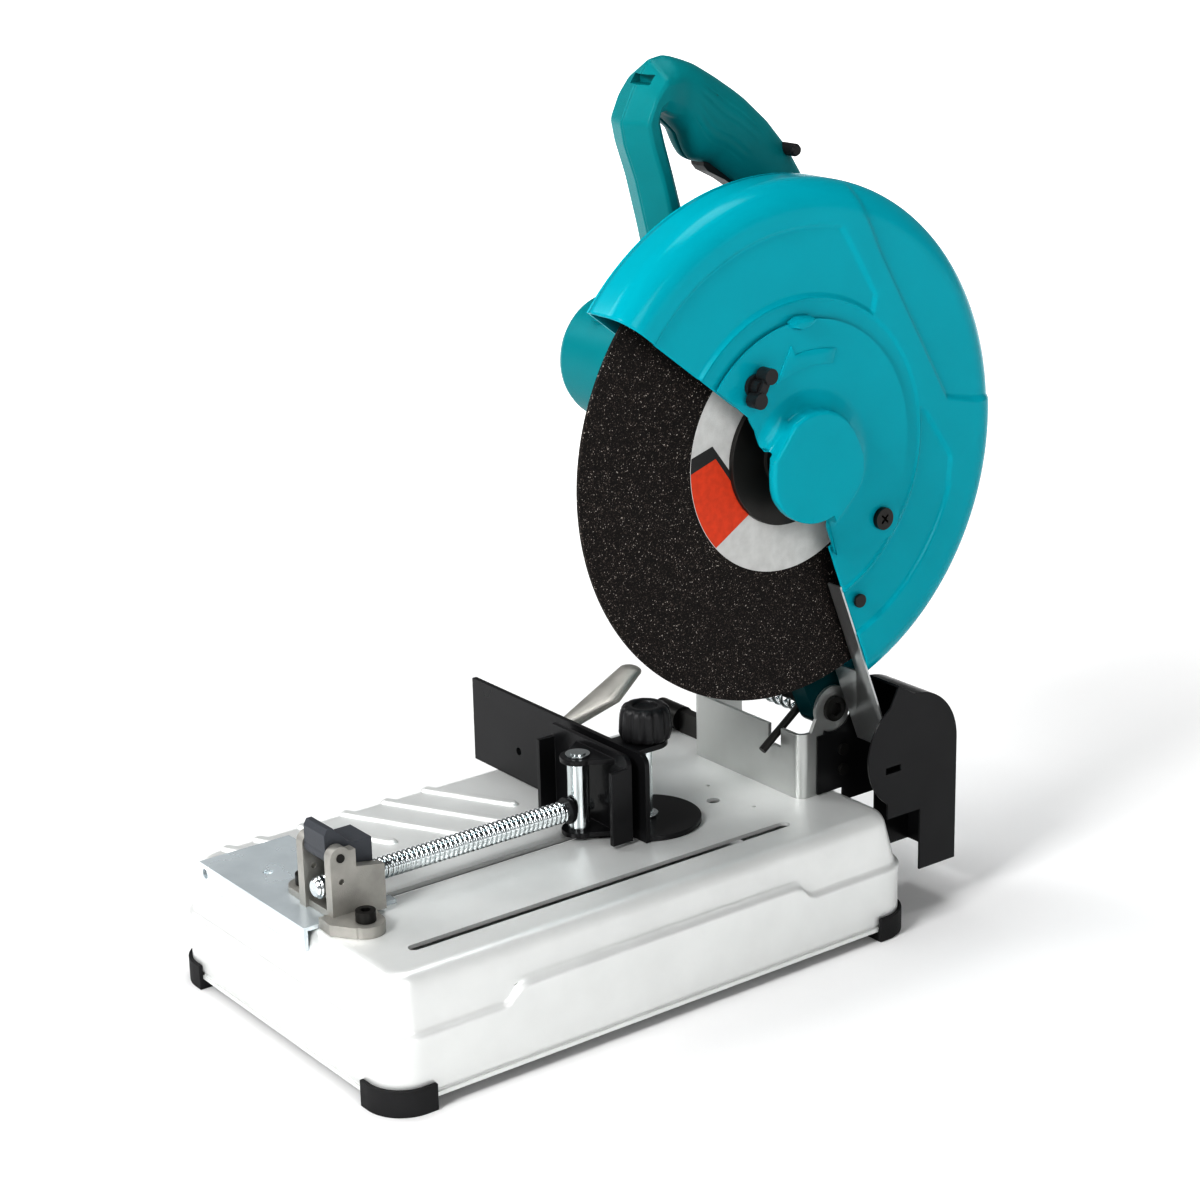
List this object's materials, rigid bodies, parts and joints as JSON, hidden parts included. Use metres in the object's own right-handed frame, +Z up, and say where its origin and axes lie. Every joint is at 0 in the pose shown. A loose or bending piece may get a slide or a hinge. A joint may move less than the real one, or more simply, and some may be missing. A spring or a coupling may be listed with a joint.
{
  "type": "abrasive chop saw",
  "caption": "Bench chop saw with a sprung tilting head, geared motor, guarded abrasive wheel, pressed base, swivelling fence and a screw vise with a flip-up nut.",
  "frame": {"origin": "on the floor, at the centre of the bolt pattern through the four feet, under the middle of the base", "axes": "+Z up, -Y towards the operator, +X towards the wheel"},
  "size_m": [0.3, 0.564, 0.6446],
  "materials": {
    "base_paint": "satin",
    "foot_rubber": "matte",
    "pressed_steel": "satin",
    "bright_zinc": "satin",
    "dark_steel": "satin",
    "black_paint": "satin",
    "cast_metal": "as cast",
    "black_plastic": "matte",
    "housing_paint": "gloss",
    "motor_plastic": "semi-gloss",
    "handle_plastic": "satin",
    "bare_alloy": "machined",
    "machined_steel": "machined",
    "laminations": "matte",
    "copper": "satin",
    "fan_plastic": "matte",
    "carbon": "matte",
    "abrasive": "gritty"
  },
  "bodies": {
    "base": {"base_shell": "base_paint", "foot_front_right": "foot_rubber", "foot_front_left": "foot_rubber", "foot_rear_right": "foot_rubber", "foot_rear_left": "foot_rubber", "hinge_bracket": "pressed_steel", "pivot_shaft": "dark_steel", "pivot_nut": "bright_zinc", "return_spring": "bright_zinc", "spark_guard": "black_paint", "spark_guard_screws": "dark_steel", "vise_base_plate": "bright_zinc", "vise_bracket": "cast_metal", "vise_bracket_bolts": "dark_steel", "flip_nut_pin": "dark_steel", "socket_wrench": "dark_steel"},
    "head": {"gear_housing": "housing_paint", "gear_cover": "bare_alloy", "motor_housing": "motor_plastic", "brush_caps": "black_plastic", "carbon_brushes": "carbon", "stator_core": "laminations", "motor_bearings": "machined_steel", "spindle_bearings": "machined_steel", "wheel_guard": "housing_paint", "guard_back_plate": "housing_paint", "guard_screws": "dark_steel", "spark_plate": "pressed_steel", "cover_pivot_screw": "dark_steel", "handle_left": "handle_plastic", "handle_right": "handle_plastic", "handle_screws": "dark_steel", "switch_body": "black_plastic", "cord_gland": "black_plastic"},
    "wheel": {"spindle": "machined_steel", "driven_gear": "machined_steel", "inner_flange": "dark_steel", "cutting_wheel": "abrasive", "outer_flange": "dark_steel", "arbor_bolt": "dark_steel"},
    "armature": {"armature_shaft": "machined_steel", "armature_core": "laminations", "commutator": "copper", "cooling_fan": "fan_plastic"},
    "trigger": {"trigger": "black_plastic"},
    "lock_button": {"lock_button": "black_plastic"},
    "shaft_lock": {"shaft_lock": "black_plastic"},
    "cover": {"center_cover": "housing_paint"},
    "wing_bolt": {"wing_bolt": "dark_steel"},
    "fence": {"guide_plate": "black_paint"},
    "knob": {"clamp_knob": "black_plastic", "clamp_screw": "bright_zinc"},
    "lever": {"lock_lever": "cast_metal", "lock_lever_stud": "pressed_steel"},
    "carriage": {"vise_post": "bright_zinc"},
    "screw": {"vise_screw": "bright_zinc", "screw_collar": "dark_steel"},
    "jaw": {"vise_plate": "black_paint"},
    "nut": {"flip_nut": "dark_steel"},
    "stop": {"stop_lever": "dark_steel"}
  },
  "joints": [
    {"name": "head_tilt", "type": "hinge", "parent": "base", "child": "head", "pos_m": [0.06, 0.212, 0.16], "axis": [1, 0, 0], "range_deg": [0, 50], "stiffness_Nm_per_rad": 30, "springref_deg": -42.97},
    {"name": "wheel_spin", "type": "hinge", "parent": "head", "child": "wheel", "pos_m": [0.098, 0.141, 0.373], "axis": [1, 0, 0], "continuous": true},
    {"name": "armature_spin", "type": "hinge", "parent": "head", "child": "armature", "pos_m": [0, 0.128, 0.416], "axis": [1, 0, 0], "continuous": true},
    {"name": "trigger_pull", "type": "hinge", "parent": "head", "child": "trigger", "pos_m": [0.015, 0.176, 0.556], "axis": [1, 0, 0], "range_deg": [-6, 0], "stiffness_Nm_per_rad": 1, "springref_deg": 5.73},
    {"name": "lock_press", "type": "slide", "parent": "head", "child": "lock_button", "axis": [1, 0, 0], "range_m": [-0.004, 0], "stiffness_N_per_m": 300, "springref_m": 0.003},
    {"name": "shaft_lock_press", "type": "slide", "parent": "head", "child": "shaft_lock", "axis": [1, 0, 0], "range_m": [0, 0.006], "stiffness_N_per_m": 400, "springref_m": -0.004},
    {"name": "cover_swing", "type": "hinge", "parent": "head", "child": "cover", "pos_m": [0.119, 0.214, 0.317], "axis": [1, 0, 0], "range_deg": [-90, 0]},
    {"name": "wing_bolt_turn", "type": "hinge", "parent": "head", "child": "wing_bolt", "pos_m": [0.12, 0.096, 0.432], "axis": [1, 0, 0], "continuous": true},
    {"name": "fence_swivel", "type": "hinge", "parent": "base", "child": "fence", "pos_m": [0.028, 0.07, 0.098], "axis": [0, 0, 1], "range_deg": [0, 15]},
    {"name": "knob_turn", "type": "hinge", "parent": "base", "child": "knob", "pos_m": [0.028, 0.07, 0.16], "axis": [0, 0, 1], "continuous": true},
    {"name": "lever_turn", "type": "hinge", "parent": "fence", "child": "lever", "pos_m": [-0.118, 0.062, 0.1], "axis": [0, 0, 1], "range_deg": [-12, 20]},
    {"name": "vise_slide", "type": "slide", "parent": "base", "child": "carriage", "axis": [0, 1, 0], "range_m": [-0.13, 0]},
    {"name": "screw_turn", "type": "hinge", "parent": "carriage", "child": "screw", "pos_m": [0.018, -0.1, 0.116], "axis": [0, 1, 0], "continuous": true},
    {"name": "jaw_swivel", "type": "hinge", "parent": "carriage", "child": "jaw", "pos_m": [0.018, 0.016, 0.1], "axis": [0, 0, 1], "range_deg": [0, 15]},
    {"name": "nut_flip", "type": "hinge", "parent": "base", "child": "nut", "pos_m": [0.018, -0.197, 0.143], "axis": [1, 0, 0], "range_deg": [0, 100]},
    {"name": "stop_swing", "type": "hinge", "parent": "base", "child": "stop", "pos_m": [0.042, 0.212, 0.16], "axis": [1, 0, 0], "range_deg": [-25, 0]}
  ],
  "couplings": [
    {"joint": "armature_spin", "follows": "wheel_spin", "ratio": -5},
    {"joint": "jaw_swivel", "follows": "fence_swivel", "ratio": 1}
  ]
}
